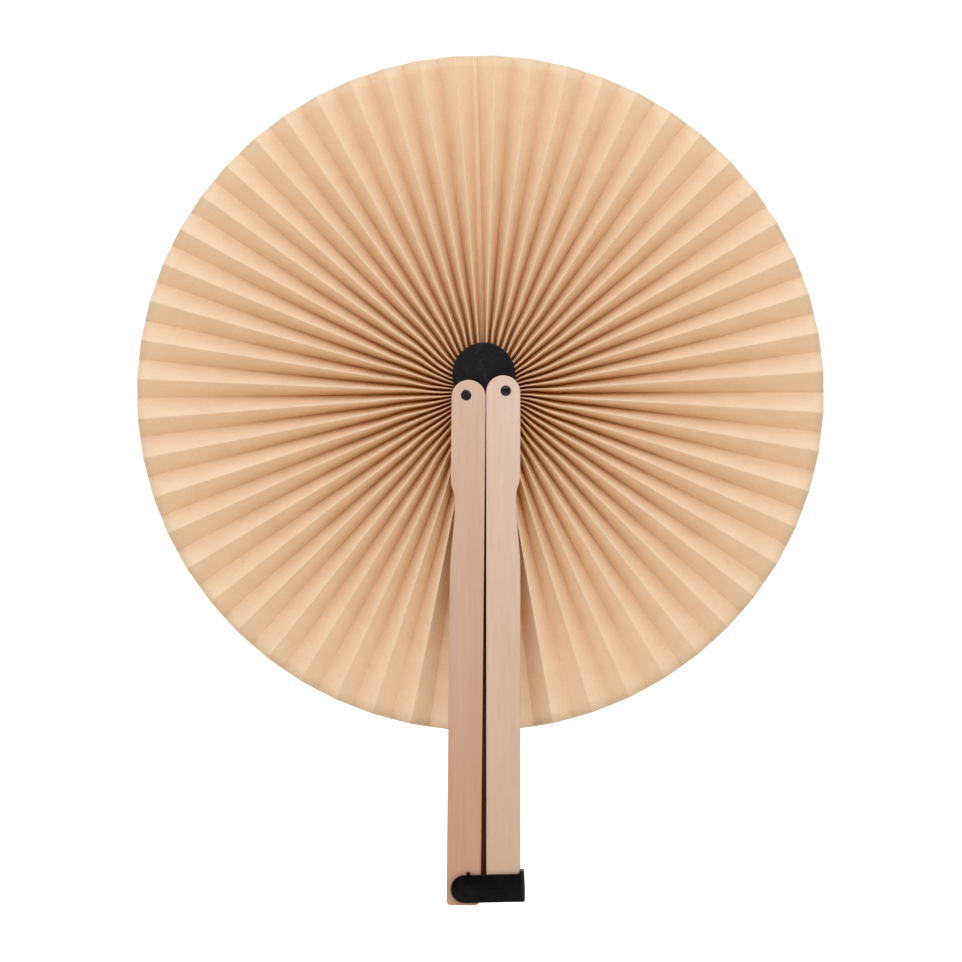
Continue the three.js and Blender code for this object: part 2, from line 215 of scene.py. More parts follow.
def make_piece(name, points, faces, material, body, replaced):
    """A piece from points in millimetres in the frame. It rides on a CAD body, or on none."""
    mesh = bpy.data.meshes.new(name)
    mesh.from_pydata([tuple(p) for p in np.asarray(points, float) * MM], [], faces)
    bm = bmesh.new()
    bm.from_mesh(mesh)
    bmesh.ops.recalc_face_normals(bm, faces=bm.faces)
    bm.to_mesh(mesh)
    bm.free()
    mesh.materials.append(material)
    mesh.polygons.foreach_set("use_smooth", [True] * len(mesh.polygons))
    piece = bpy.data.objects.new(name, mesh)
    bpy.context.scene.collection.objects.link(piece)
    if body:
        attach(piece, body)
    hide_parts(replaced)
    return piece


def flat_faces_stay_flat(piece):
    """Shades large faces flat and leaves the rounding to the edges' own small faces."""
    modifier = piece.modifiers.new("weighted_normals", "WEIGHTED_NORMAL")
    modifier.keep_sharp = False
    modifier.weight = 100


def arc(centre, radius, start, end, steps):
    """Points on a round stretch, angles in degrees from +x towards +z, its first point left out."""
    turns = np.radians(np.linspace(start, end, steps + 1)[1:])
    return [(centre[0] + radius * math.cos(t), centre[1] + radius * math.sin(t)) for t in turns]


def bezier(start, handle_a, handle_b, end, steps):
    """Points on a cubic curve, its first point left out."""
    p = [np.array(q, float) for q in (start, handle_a, handle_b, end)]
    weights = [(1 - t, t) for t in np.linspace(0, 1, steps + 1)[1:]]
    return [
        tuple(p[0] * a**3 + p[1] * 3 * a * a * b + p[2] * 3 * a * b * b + p[3] * b**3)
        for a, b in weights
    ]


def sense(loop, anticlockwise):
    """The loop in the wanted sense, without points that repeat."""
    points = np.array(loop, float)
    before = np.roll(points, 1, axis=0)
    points = points[np.linalg.norm(points - before, axis=1) > 1e-4]
    after = np.roll(points, -1, axis=0)
    area = np.sum(points[:, 0] * after[:, 1] - after[:, 0] * points[:, 1])
    return points if (area > 0) == anticlockwise else points[::-1]


def inset(loop, distance):
    """The loop moved to its left by a distance, with mitred corners."""
    along = np.roll(loop, -1, axis=0) - loop
    along /= np.linalg.norm(along, axis=1)[:, None]
    normal = np.stack([-along[:, 1], along[:, 0]], 1)
    mitre = normal + np.roll(normal, 1, axis=0)
    mitre /= (1 + np.sum(normal * np.roll(normal, 1, axis=0), axis=1))[:, None]
    return loop + mitre * distance


def rounded_plate(outside, holes, low, high, edge):
    """A flat piece with rounded edges: outlines in x and z, its thickness from y low to high."""
    loops = [(sense(outside, True), edge)] + [(sense(hole, False), HOLE_EDGE) for hole in holes]
    bm = bmesh.new()
    ends = ([], [])
    for loop, radius in loops:
        rings = []
        for turn in np.linspace(0, math.pi / 2, EDGE_STEPS + 1):
            rings.append((radius * (1 - math.sin(turn)), low + radius * (1 - math.cos(turn))))
        rings += [(away, high + low - y) for away, y in reversed(rings)]
        made = []
        for away, y in rings:
            made.append([bm.verts.new((x, y, z)) for x, z in inset(loop, away)])
        count = len(loop)
        for ring, following in zip(made, made[1:]):
            for n in range(count):
                m = (n + 1) % count
                bm.faces.new((ring[n], ring[m], following[m], following[n]))
        for end, ring in zip(ends, (made[0], made[-1])):
            end += [bm.edges.get((ring[n], ring[(n + 1) % count])) for n in range(count)]
    for end in ends:
        bmesh.ops.triangle_fill(bm, use_beauty=True, edges=end)
    bmesh.ops.recalc_face_normals(bm, faces=bm.faces)
    return bm


def points_and_faces(bm):
    """A bmesh as arrays; the bmesh is freed."""
    bm.verts.index_update()
    points = np.array([v.co for v in bm.verts], float)
    faces = [tuple(v.index for v in f.verts) for f in bm.faces]
    bm.free()
    return points, faces


def joined(*parts):
    """Several (points, faces) as one."""
    points, faces, count = [], [], 0
    for some_points, some_faces in parts:
        points.append(some_points)
        faces += [tuple(i + count for i in face) for face in some_faces]
        count += len(some_points)
    return np.concatenate(points), faces


def turned_piece(profile, sides, swell=None):
    """A turned piece round the Y axis from (radius, y) points; both ends lie on the axis.

    swell(angle, share along the profile) scales the radius, for a piece that isn't quite round.
    """
    points, faces = [(0, profile[0][1], 0)], []
    inner = profile[1:-1]
    for n, (radius, y) in enumerate(inner):
        share = n / (len(inner) - 1)
        for k in range(sides):
            angle = 2 * math.pi * k / sides
            r = radius * (swell(angle, share) if swell else 1)
            points.append((r * math.cos(angle), y, r * math.sin(angle)))
    points.append((0, profile[-1][1], 0))
    for n in range(len(inner) - 1):
        for k in range(sides):
            m = (k + 1) % sides
            a, b = 1 + n * sides, 1 + (n + 1) * sides
            faces.append((a + k, a + m, b + m, b + k))
    last = len(points) - 1
    for k in range(sides):
        m = (k + 1) % sides
        faces.append((0, 1 + m, 1 + k))
        faces.append((last, last - sides + k, last - sides + m))
    return np.array(points, float), faces


# ---- Materials ----

# Colours, linear
PAPER_PALE = (0.847, 0.642, 0.442)
PAPER_DEEP = (0.806, 0.592, 0.389)
PAPER_DARK = (0.728, 0.512, 0.308)
PAPER_FIBRE = (0.90, 0.725, 0.528)
PAPER_FLECK = (0.58, 0.375, 0.195)
# The pale tone along the folds: partly crease wear, partly painted light (a painted highlight on
# the ridges, painted light over the valleys' shade)
PAPER_WORN_AND_LIT = (0.92, 0.770, 0.566)
COTTON_PALE = (0.62, 0.46, 0.28)
COTTON_DEEP = (0.42, 0.29, 0.15)

# Wood: pale, deep, and what the tone is multiplied by at the arm's lower end
WOOD_TONES = {
    LEFT: ((0.70, 0.496, 0.383), (0.65, 0.444, 0.334), (0.70, 0.537, 0.396)),
    RIGHT: ((0.748, 0.574, 0.465), (0.713, 0.533, 0.422), (0.825, 0.712, 0.575)),
}
# The core strips' wood, far darker than the arms': painted shade for the deep slit between the arms
CORE_SHADE_TONES = ((0.42, 0.26, 0.18), (0.35, 0.21, 0.14), (0.8, 0.7, 0.6))

# In metres: the heights between which the wood's tone deepens, and the distances from the hub
# between which the pale band along the paper's folds fades: partly crease wear, partly painted
# light, a painted highlight on the ridges and painted light over the valleys' shade
WOOD_TONE_HEIGHTS = (0.16, -0.03)
WORN_AND_LIT_DISTANCES = (0.045, 0.085)
WORN_AND_LIT_STRENGTHS = (0.42, 0.08)


def new_material(name):
    material = bpy.data.materials.new(name)
    material.use_nodes = True
    return material, material.node_tree, material.node_tree.nodes["Principled BSDF"]


def feed(tree, socket, value):
    """Sets an input to a value, or links it to the output that it is given."""
    if isinstance(value, bpy.types.NodeSocket):
        tree.links.new(value, socket)
    else:
        socket.default_value = value


def node(tree, kind, inputs=None, **settings):
    """A shader node, with its settings and its inputs: a value, or the socket that feeds it."""
    made = tree.nodes.new("ShaderNode" + kind)
    for key, value in settings.items():
        setattr(made, key, value)
    for key, value in (inputs or {}).items():
        feed(tree, made.inputs[key], value)
    return made


def scaled(tree, vector, scale):
    return node(tree, "Mapping", {"Vector": vector, "Scale": scale}).outputs["Vector"]


def noise(tree, vector, scale, detail=3.0, roughness=0.5, distortion=0.0):
    inputs = {
        "Vector": vector, "Scale": scale, "Detail": detail,
        "Roughness": roughness, "Distortion": distortion,
    }
    return node(tree, "TexNoise", inputs).outputs["Fac"]


def between(tree, value, low, high, to_low=0.0, to_high=1.0):
    """A value from low..high spread over to_low..to_high, and held at the ends."""
    inputs = {
        "Value": value, "From Min": low, "From Max": high,
        "To Min": to_low, "To Max": to_high,
    }
    return node(tree, "MapRange", inputs).outputs["Result"]


def mixed(tree, factor, a, b, blend="MIX"):
    """Two colours mixed. The node's inputs 6 and 7 and its output 2 are the ones for colours."""
    made = node(tree, "Mix", {0: factor, 6: a, 7: b}, data_type="RGBA", blend_type=blend)
    return made.outputs[2]


def maths(tree, operation, *values):
    return node(tree, "Math", dict(enumerate(values)), operation=operation).outputs[0]


def rgba(colour, factors=(1, 1, 1)):
    """A colour for a socket, each channel times its factor."""
    return (*[c * f for c, f in zip(colour, factors)], 1)


def bumped(tree, shader, height, strength, distance):
    inputs = {"Height": height, "Strength": strength, "Distance": distance}
    tree.links.new(node(tree, "Bump", inputs).outputs["Normal"], shader.inputs["Normal"])


def wood_material(name, pale, deep, low_tint, offset):
    """Fine-grained bare maple: faint streaks, short pores, and a tone that deepens down the arm."""
    material, tree, shader = new_material(name)
    place = node(tree, "TexCoord").outputs["Object"]
    moved = node(tree, "Mapping", {"Vector": place, "Location": (offset,) * 3}).outputs["Vector"]
    bands = noise(tree, scaled(tree, moved, (1, 1, 0.035)), 210, 4, 0.55, 0.6)
    streaks = noise(tree, scaled(tree, moved, (1, 1, 0.03)), 1500, 5, 0.6)
    pores = noise(tree, scaled(tree, moved, (1, 1, 0.09)), 5200, 2, 0.5)
    blotches = noise(tree, scaled(tree, moved, (1, 1, 0.16)), 160, 3, 0.6, 0.4)
    figure = noise(tree, scaled(tree, moved, (1, 1, 0.075)), 640, 3, 0.6, 0.9)
    height = node(tree, "SeparateXYZ", {"Vector": place}).outputs["Z"]
    down = between(tree, height, *WOOD_TONE_HEIGHTS)
    tone = mixed(tree, between(tree, bands, 0.3, 0.72), rgba(pale), rgba(deep))
    tone = mixed(tree, maths(tree, "MULTIPLY", down, 0.85), tone, rgba(low_tint), "MULTIPLY")
    for pattern, low, high, more_down, least, factors in (
        (blotches, 0.42, 0.68, 0.5, 0.12, (0.86, 0.78, 0.72)),
        (figure, 0.44, 0.66, 0.34, 0.1, (0.80, 0.68, 0.57)),
    ):
        strength = maths(tree, "MULTIPLY_ADD", down, more_down, least)
        strength = maths(tree, "MULTIPLY", between(tree, pattern, low, high), strength)
        tone = mixed(tree, strength, tone, rgba(deep, factors))
    fine = between(tree, streaks, 0.35, 0.7, 0.0, 0.34)
    tone = mixed(tree, fine, tone, rgba(deep, (0.89, 0.85, 0.80)))
    specks = between(tree, pores, 0.62, 0.74, 0.0, 0.3)
    tone = mixed(tree, specks, tone, rgba(deep, (0.66, 0.54, 0.44)))
    tree.links.new(tone, shader.inputs["Base Color"])
    tree.links.new(between(tree, streaks, 0.3, 0.7, 0.5, 0.66), shader.inputs["Roughness"])
    shader.inputs["Specular IOR Level"].default_value = 0.35
    relief = maths(tree, "ADD", streaks, maths(tree, "MULTIPLY", pores, -0.6))
    bumped(tree, shader, relief, 0.22, 0.00006)
    return material


def paper_material():
    """Uncoated kraft paper. Its map lies flat on the sheet: along the strip, and outwards."""
    material, tree, shader = new_material("kraft_paper")
    flat = node(tree, "UVMap", uv_map="flat").outputs["UV"]
    clouds = noise(tree, flat, 95, 3, 0.5)
    formation = noise(tree, flat, 620, 4, 0.6)
    fibres = noise(tree, scaled(tree, flat, (0.28, 1, 1)), 3300, 4, 0.65, 0.4)
    cross_fibres = noise(tree, scaled(tree, flat, (1, 0.3, 1)), 2600, 3, 0.6, 0.5)
    flecks = noise(tree, scaled(tree, flat, (0.5, 1, 1)), 1250, 1, 0.4, 1.2)
    tone = mixed(tree, between(tree, clouds, 0.32, 0.7), rgba(PAPER_PALE), rgba(PAPER_DEEP))
    tone = mixed(tree, between(tree, formation, 0.35, 0.7, 0.0, 0.22), tone, rgba(PAPER_DARK))
    tone = mixed(tree, between(tree, fibres, 0.4, 0.72, 0.0, 0.2), tone, rgba(PAPER_FIBRE))
    tone = mixed(tree, between(tree, flecks, 0.69, 0.76, 0.0, 0.28), tone, rgba(PAPER_FLECK))
    along = node(tree, "SeparateXYZ", {"Vector": flat}).outputs["X"]
    leaves = maths(tree, "DIVIDE", along, LEAF_WIDTH * MM)
    to_fold = maths(tree, "PINGPONG", leaves, 0.5)
    # Paler along every fold, most near the hub: partly crease wear, partly painted light, a painted
    # highlight on the ridges and painted light over the shade in the valleys
    worn_and_lit = between(tree, to_fold, 0.012, 0.05, 1.0, 0.0)
    out = node(tree, "SeparateXYZ", {"Vector": flat}).outputs["Y"]
    worn_and_lit = maths(tree, "MULTIPLY", worn_and_lit, between(tree, out, *WORN_AND_LIT_DISTANCES, *WORN_AND_LIT_STRENGTHS))
    tone = mixed(tree, worn_and_lit, tone, rgba(PAPER_WORN_AND_LIT))
    tree.links.new(tone, shader.inputs["Base Color"])
    tree.links.new(between(tree, formation, 0.3, 0.7, 0.82, 0.94), shader.inputs["Roughness"])
    shader.inputs["Specular IOR Level"].default_value = 0.22
    relief = maths(tree, "ADD", fibres, cross_fibres)
    relief = maths(tree, "ADD", relief, maths(tree, "MULTIPLY", formation, 1.4))
    bumped(tree, shader, relief, 0.3, 0.00005)
    return material


def plastic_material(name, tone, rough, scratched, shine):
    """Satin black moulded plastic with a fine texture, and faint smudges and scratches."""
    material, tree, shader = new_material(name)
    place = node(tree, "TexCoord").outputs["Object"]
    grain = noise(tree, place, 4200, 2, 0.5)
    patches = noise(tree, place, 170, 4, 0.6)
    smudges = noise(tree, place, 260, 5, 0.68, 0.9)
    inputs = {"Vector": place, "Rotation": (0, 0.5, 0), "Scale": (0.08, 1, 1)}
    lines = noise(tree, node(tree, "Mapping", inputs).outputs["Vector"], 2300, 2, 0.4)
    marks = between(tree, lines, 0.66, 0.72, 0.0, scratched)
    patched = between(tree, patches, 0.4, 0.75, 0.0, 0.6)
    colour = mixed(tree, patched, rgba(tone), rgba(tone, (1.5,) * 3))
    smudged = between(tree, smudges, 0.5, 0.7, 0.0, scratched)
    colour = mixed(tree, smudged, colour, rgba(tone, (3.2,) * 3))
    colour = mixed(tree, marks, colour, rgba(tone, (3.0,) * 3))
    tree.links.new(colour, shader.inputs["Base Color"])
    satin = between(tree, patches, 0.3, 0.7, rough - 0.04, rough + 0.06)
    roughness = maths(tree, "ADD", satin, maths(tree, "MULTIPLY", marks, 0.3))
    tree.links.new(roughness, shader.inputs["Roughness"])
    shader.inputs["Specular IOR Level"].default_value = shine
    relief = maths(tree, "SUBTRACT", grain, maths(tree, "MULTIPLY", marks, 0.8))
    bumped(tree, shader, relief, 0.12, 0.00003)
    return material


def thread_material():
    """Twisted cotton thread."""
    material, tree, shader = new_material("cotton_thread")
    place = node(tree, "TexCoord").outputs["Object"]
    fluff = noise(tree, place, 5200, 4, 0.6)
    tone = mixed(tree, between(tree, fluff, 0.35, 0.7), rgba(COTTON_PALE), rgba(COTTON_DEEP))
    tree.links.new(tone, shader.inputs["Base Color"])
    shader.inputs["Roughness"].default_value = 0.85
    shader.inputs["Sheen Weight"].default_value = 0.3
    bumped(tree, shader, fluff, 0.4, 0.00006)
    return material


KRAFT = paper_material()
WOOD = {
    side: wood_material(f"{NAMES[side]}_maple", *WOOD_TONES[side], offset)
    for side, offset in ((LEFT, 0.31), (RIGHT, 0.77))
}
# Painted shade: the dark core wood stands in for the shade in the slit between the arms
CORE_WOOD_PAINTED_SHADE = wood_material("core_maple_painted_shade", *CORE_SHADE_TONES, 0.53)
HUB_BLACK = plastic_material("hub_black", (0.0068, 0.0062, 0.0073), 0.44, 0.9, 0.32)
STUD_BLACK = plastic_material("stud_black", (0.0085, 0.0078, 0.0075), 0.3, 0.2, 0.5)
CLASP_BLACK = plastic_material("clasp_black", (0.0049, 0.0047, 0.0047), 0.36, 0.3, 0.28)
COTTON = thread_material()


# ---- Arms ----

def slat_outline(side):
    """A slat in x and z from its pivot: a round top, a waist on its outer edge, rounded corners."""
    outer, inner = side * PIVOT_TO_OUTER_EDGE, -side * PIVOT_TO_INNER_EDGE
    waist = outer - side * WAIST_DEPTH
    middle = (outer + inner) / 2
    radius = (PIVOT_TO_OUTER_EDGE + PIVOT_TO_INNER_EDGE) / 2
    shoulder, end = ARM_ABOVE_PIVOT - radius, -ARM_BELOW_PIVOT
    loop = [(inner, end + INNER_CORNER), (inner, shoulder)]
    loop += arc((middle, shoulder), radius, *((180, 0) if side > 0 else (0, 180)), 48)
    loop.append((outer, -WAIST_TOP))
    top, above, below, bottom = WAIST_HANDLES
    narrowest = (waist, -WAIST_NARROWEST)
    loop += bezier(loop[-1], (outer, -WAIST_TOP - top), (waist, -WAIST_NARROWEST + above),
                   narrowest, 16)
    loop += bezier(narrowest, (waist, -WAIST_NARROWEST - below), (outer, -WAIST_BOTTOM + bottom),
                   (outer, -WAIST_BOTTOM), 24)
    loop.append((outer, end + OUTER_CORNER))
    loop += arc((outer - side * OUTER_CORNER, end + OUTER_CORNER), OUTER_CORNER,
                *((0, -90) if side > 0 else (180, 270)), 8)
    loop.append((inner + side * INNER_CORNER, end))
    loop += arc((inner + side * INNER_CORNER, end + INNER_CORNER), INNER_CORNER,
                *((270, 180) if side > 0 else (-90, 0)), 10)
    return loop


def round_hole(centre, radius):
    return arc(centre, radius, 0, 360, 40)


def in_arm(side, points):
    """From the arm's own frame, whose origin is its pivot, into the model's."""
    return turned_about_y(points, -side * SPLAY[side]) + PIVOT[side]


def make_slats(side):
    name = NAMES[side]
    for face, low, high in (("front", -SLAT_OUTER, -SLAT_INNER), ("back", SLAT_INNER, SLAT_OUTER)):
        holes = [round_hole((0, 0), STUD_HOLE)]
        if side == LEFT:
            there = turned_about_y([CLASP_PIVOT - PIVOT[LEFT]], -SPLAY[LEFT])[0]
            holes.append(round_hole((there[0], there[2]), PIP_RADIUS + PIP_CLEARANCE))
        plate = rounded_plate(slat_outline(side), holes, low, high, SLAT_EDGE)
        points, faces = points_and_faces(plate)
        piece = make_piece(f"{name}_{face}_slat_wood", in_arm(side, points), faces, WOOD[side],
                           f"{name}_arm", f"{name}_{face}_slat")
        flat_faces_stay_flat(piece)


def rectangle(x0, x1, z0, z1):
    return [(x0, z0), (x1, z0), (x1, z1), (x0, z1)]


def make_core(side):
    """The strip that the arm's slats are glued to, with a tongue between the hub plates above it.

    Its front part is set back from the other arm's, so the slit between the arms is deep. The two
    strips are parallel, and halve the angle between the arms. Their wood is far darker than the
    arms': painted shade deep in the slit.
    """
    name = NAMES[side]
    depth = SLAT_INNER - GLUE_GAP
    low, high = HUB[2] - ARM_BELOW_PIVOT + BLOCK_INSET, HUB[2] - CORE_TOP
    setback, outer = side * REBATE_WIDTH, side * CORE_OUTER
    behind = REBATE_DEPTH - depth
    whole, front = rectangle(0, outer, low, high), rectangle(setback, outer, low, high)
    tongue = rectangle(0, outer, high - OVERLAP, HUB[2] - TONGUE_TOP)
    parts = [
        rounded_plate(whole, [], behind, depth, CORE_EDGE),
        rounded_plate(front, [], -depth, behind + OVERLAP, CORE_EDGE),
        rounded_plate(tongue, [], -TONGUE_HALF_DEPTH, TONGUE_HALF_DEPTH, CORE_EDGE),
    ]
    points, faces = joined(*[points_and_faces(part) for part in parts])
    points = turned_about_y(points - HUB, MEETING_LEAN) + HUB
    piece = make_piece(f"{name}_core_wood", points, faces, CORE_WOOD_PAINTED_SHADE,
                       f"{name}_arm", f"{name}_core_strip")
    flat_faces_stay_flat(piece)


def make_grip_block(side):
    """The block that fills the arm below the disc, where the hand holds it."""
    name = NAMES[side]
    inner = -side * (PIVOT_TO_INNER_EDGE - CORE_OUTER - BLOCK_INSET)
    outer = side * (PIVOT_TO_OUTER_EDGE - BLOCK_INSET)
    depth = SLAT_INNER - GLUE_GAP
    loop = rectangle(inner, outer, -ARM_BELOW_PIVOT + BLOCK_INSET, -GRIP_TOP)
    points, faces = points_and_faces(rounded_plate(loop, [], -depth, depth, BLOCK_EDGE))
    piece = make_piece(f"{name}_grip_wood", in_arm(side, points), faces, WOOD[side],
                       f"{name}_arm", f"{name}_grip_block")
    flat_faces_stay_flat(piece)


# ---- Hub ----

def hub_outline():
    """A hub plate in x and z: a half round on straight sides, with rounded lower corners."""
    loop = [(-DOME_RADIUS + HUB_CORNER, -HUB_BASE), (DOME_RADIUS - HUB_CORNER, -HUB_BASE)]
    loop += arc((DOME_RADIUS - HUB_CORNER, HUB_CORNER - HUB_BASE), HUB_CORNER, -90, 0, 10)
    loop.append((DOME_RADIUS, DOME_RISE))
    loop += arc((0, DOME_RISE), DOME_RADIUS, 0, 180, 72)
    loop.append((-DOME_RADIUS, HUB_CORNER - HUB_BASE))
    loop += arc((HUB_CORNER - DOME_RADIUS, HUB_CORNER - HUB_BASE), HUB_CORNER, 180, 270, 10)
    return loop


def in_hub(points):
    """From the hub's own frame, whose origin is midway between the pivots, into the model's."""
    return turned_about_y(points, -HUB_TILT) + HUB


def make_hub_plates():
    plates = (("front", -PLATE_OUTER, -PLATE_INNER), ("back", PLATE_INNER, PLATE_OUTER))
    for face, low, high in plates:
        holes = [round_hole((side * PIVOT_PITCH / 2, 0), STUD_HOLE) for side in (LEFT, RIGHT)]
        plate = rounded_plate(hub_outline(), holes, low, high, PLATE_EDGE)
        points, faces = points_and_faces(plate)
        piece = make_piece(f"hub_{face}_dome", in_hub(points), faces, HUB_BLACK,
                           "hub", f"hub_{face}_plate")
        flat_faces_stay_flat(piece)


def stud_profile(crown, head):
    """(radius, distance from the fan's middle): a shank that ends in a low domed head."""
    rim = SLAT_OUTER + STUD_HEAD_GAP
    start = PLATE_INNER + STUD_START
    low, high = start + SHANK_MARGINS[0], rim - SHANK_MARGINS[1]
    profile = [(0, start), (STUD_RADIUS - STUD_BEVEL, start), (STUD_RADIUS, start + STUD_BEVEL)]
    profile += [(STUD_RADIUS, y) for y in np.linspace(low, high, 5)]
    for turn in np.linspace(0, math.pi / 2, 11)[:-1]:
        profile.append((head * math.cos(turn), rim + crown * math.sin(turn)))
    profile.append((0, rim + crown))
    return profile


def upset_end(angle, share):
    """The left front stud's end, pressed out of round, with a nib at its top."""
    nib = math.exp(-(((math.degrees(angle) - NIB_ANGLE) / NIB_SPREAD) ** 2))
    oval = 0.04 * math.cos(2 * angle + 0.6) + 0.03 * math.cos(3 * angle + 1.1)
    return 1 + (NIB_HEIGHT * nib + oval if share > 0.4 else 0)


def make_studs():
    for side in (LEFT, RIGHT):
        for face, way in (("front", -1), ("back", 1)):
            pressed = side == LEFT and face == "front"
            crown, head = STUD_CROWN, STUD_HEAD
            if pressed:
                crown, head = PRESSED_CROWN, PRESSED_HEAD
            profile = stud_profile(crown, head)
            points, faces = turned_piece(profile, 40, upset_end if pressed else None)
            points = points * (1, way, 1) + (side * PIVOT_PITCH / 2, 0, 0)
            make_piece(f"{NAMES[side]}_{face}_stud", in_hub(points), faces, STUD_BLACK,
                       "hub", f"{NAMES[side]}_{face}_pivot_stud")


def make_thread():
    """Three strands twisted round one another along an oval."""
    parts = []
    forward = np.array((0, 1.0, 0))
    for strand in range(STRANDS):
        points, faces = [], []
        for n in range(STRAND_STEPS):
            t = 2 * math.pi * n / STRAND_STEPS
            twist = STRAND_TURNS * t + 2 * math.pi * strand / STRANDS
            outward = np.array((math.cos(t), 0, math.sin(t)))
            oval = THREAD_HALF_WIDTH * math.cos(t), 0, THREAD_HALF_HEIGHT * math.sin(t)
            offset = outward * math.cos(twist) + forward * math.sin(twist)
            centre = np.array(oval) + STRAND_RADIUS * offset
            for k in range(STRAND_SIDES):
                a = 2 * math.pi * k / STRAND_SIDES
                rim = outward * math.cos(a) + forward * math.sin(a)
                points.append(centre + STRAND_RADIUS * rim)
        for n in range(STRAND_STEPS):
            a, b = n * STRAND_SIDES, (n + 1) % STRAND_STEPS * STRAND_SIDES
            for k in range(STRAND_SIDES):
                m = (k + 1) % STRAND_SIDES
                faces.append((a + k, a + m, b + m, b + k))
        parts.append((np.array(points), faces))
    points, faces = joined(*parts)
    make_piece("binding_cord", in_hub(points), faces, COTTON, "hub", "binding_thread")


# ---- Paper ----

# Shares of the way outwards, closer near the hub, and of the way over a leaf, closer at its folds
ROWS = np.concatenate([np.linspace(0, 0.36, 25)[:-1], np.linspace(0.36, 1, 19)])
CROSSINGS = np.array([0, 0.022, 0.055, 0.14, 0.32, 0.5, 0.68, 0.86, 0.945, 0.978])
APEX_PULL = 0.45
UNEVEN_DEGREES = 0.09
WANDER_RISE = 9.0
WANDER_FULL = 12.0
WANDER_END = 46.0
WANDER_WAVES = (5.2, 3.1)
WANDER_SHARED = 0.32
WANDER_OWN = 0.011
WANDER_DRIFT = 0.28
SWELL_MEAN = 0.02
SWELL_SPREAD = 0.07
SWELL_WAVES = (1.5, 2.6, 4.1)
SWELL_WAVE_SPREAD = 0.075
FULL_TURN = 6.28


def fold_lines(side):
    """Each fold: where it starts, its angle from up, way and step forward, and its leaves' mean
    angular step."""
    rng = np.random.RandomState(20 + side)
    lines = []

    def add(x, angle, way, step, forward=0.0):
        lines.append({"x": x, "angle": angle, "way": way, "forward": forward, "step": step})

    count = np.arange(FOLDS)
    growth = FOLD_STEP_GROWTH[side]
    turns = FIRST_RIDGE + FOLD_STEP * count + growth * count**2 - FOLD_STEP_EASING * count**3
    step = FOLD_STEP + 2 * growth * count - 3 * FOLD_STEP_EASING * count**2
    for x in (JOIN_HALF_WIDTH - JOIN_FLANGE, JOIN_HALF_WIDTH):
        forward = JOIN_STEP if side == LEFT else 0.0
        add(side * x + JOIN_FOOT, math.radians(JOIN_LEAN), 1, step[0], forward)
    for n in range(FOLDS - 1):
        turn = turns[n]
        if 1 < n < FOLDS - 3:
            turn += rng.normal(0, UNEVEN_DEGREES)
        x = side * (RING_OFFSET + RING_SPREAD * math.sin(math.radians(turn / 2)))
        x += JOIN_FOOT * (1 - turn / 180)
        angle = math.radians(side * turn + JOIN_LEAN * (1 - turn / 180))
        add(x, angle, 1 if n % 2 else -1, step[n])
    add(side * LAST_FOLD_OFFSET, math.radians(side * LAST_FOLD), 1, step[-1])
    return lines


def rim_distance(line):
    """How far along a fold the oval rim lies."""
    x = line["x"] - RIM_SHIFT
    across = math.sin(line["angle"]) / RIM_HALF_WIDTH
    up = math.cos(line["angle"]) / RIM_HALF_HEIGHT
    start = x / RIM_HALF_WIDTH
    a, b = across * across + up * up, start * across
    return (-b + math.sqrt(b * b - a * (start * start - 1))) / a


def wander(rng, radius, shared):
    """How far a fold strays to one side near the hub, where the leaves are crowded: shared waves
    that neighbours follow together, and a fold's own, both gone by WANDER_END."""
    fade = np.clip((WANDER_END - radius) / (WANDER_END - WANDER_FULL), 0, 1) ** 1.3
    fade = fade * np.clip((radius - PAPER_INNER_RADIUS) / WANDER_RISE, 0, 1)
    long, short = WANDER_WAVES
    waves = np.sin(radius / long + shared[0]) + 0.6 * np.sin(radius / short + shared[1])
    own = np.sin(radius / rng.uniform(2.4, 4.5) + rng.uniform(0, FULL_TURN))
    own = radius * WANDER_OWN * own
    return fade * (WANDER_SHARED * waves + own)


def row_distances(line):
    """How far along a fold each row lies."""
    return PAPER_INNER_RADIUS + ROWS * (rim_distance(line) - PAPER_INNER_RADIUS)


def along_fold(line, stray):
    """Points along a fold, one for each row, measured from the hub."""
    radius = row_distances(line)
    pitch = radius * math.radians(line["step"])
    depth = np.sqrt(LEAF_WIDTH**2 - pitch**2) / 2
    sideways = stray(radius)
    x = line["x"] + radius * math.sin(line["angle"]) + sideways * math.cos(line["angle"])
    z = radius * math.cos(line["angle"]) - sideways * math.sin(line["angle"])
    return np.stack([x, line["way"] * depth - line["forward"], z], 1)


def closed_shares(side, lines):
    """How much of the arm's turn each fold takes, so that the closed pleats pack evenly at the rim.

    The folds turn about the arm's pivot. When the fan is closed they all point the same way as the
    join, and their rim ends stand side by side from the join to the arm's core strip.
    """
    pivot = (PIVOT[side] - HUB)[[0, 2]] * (side, 1)
    whole = math.radians(FOLD_RANGE[side])

    def closed_x(line, turn):
        start = np.array((side * line["x"], 0.0)) - pivot
        x = pivot[0] + start[0] * math.cos(turn) - start[1] * math.sin(turn)
        return x + rim_distance(line) * math.sin(side * line["angle"] - turn)

    first, last = closed_x(lines[1], 0.0), closed_x(lines[-1], whole)
    shares = [0.0, 0.0]
    for n, line in enumerate(lines[2:-1], start=1):
        wanted = first + (last - first) * n / (len(lines) - 2)
        low, high = 0.0, whole
        for _ in range(50):
            middle = (low + high) / 2
            if closed_x(line, middle) > wanted:
                low = middle
            else:
                high = middle
        shares.append(low / whole)
    return shares + [1.0]


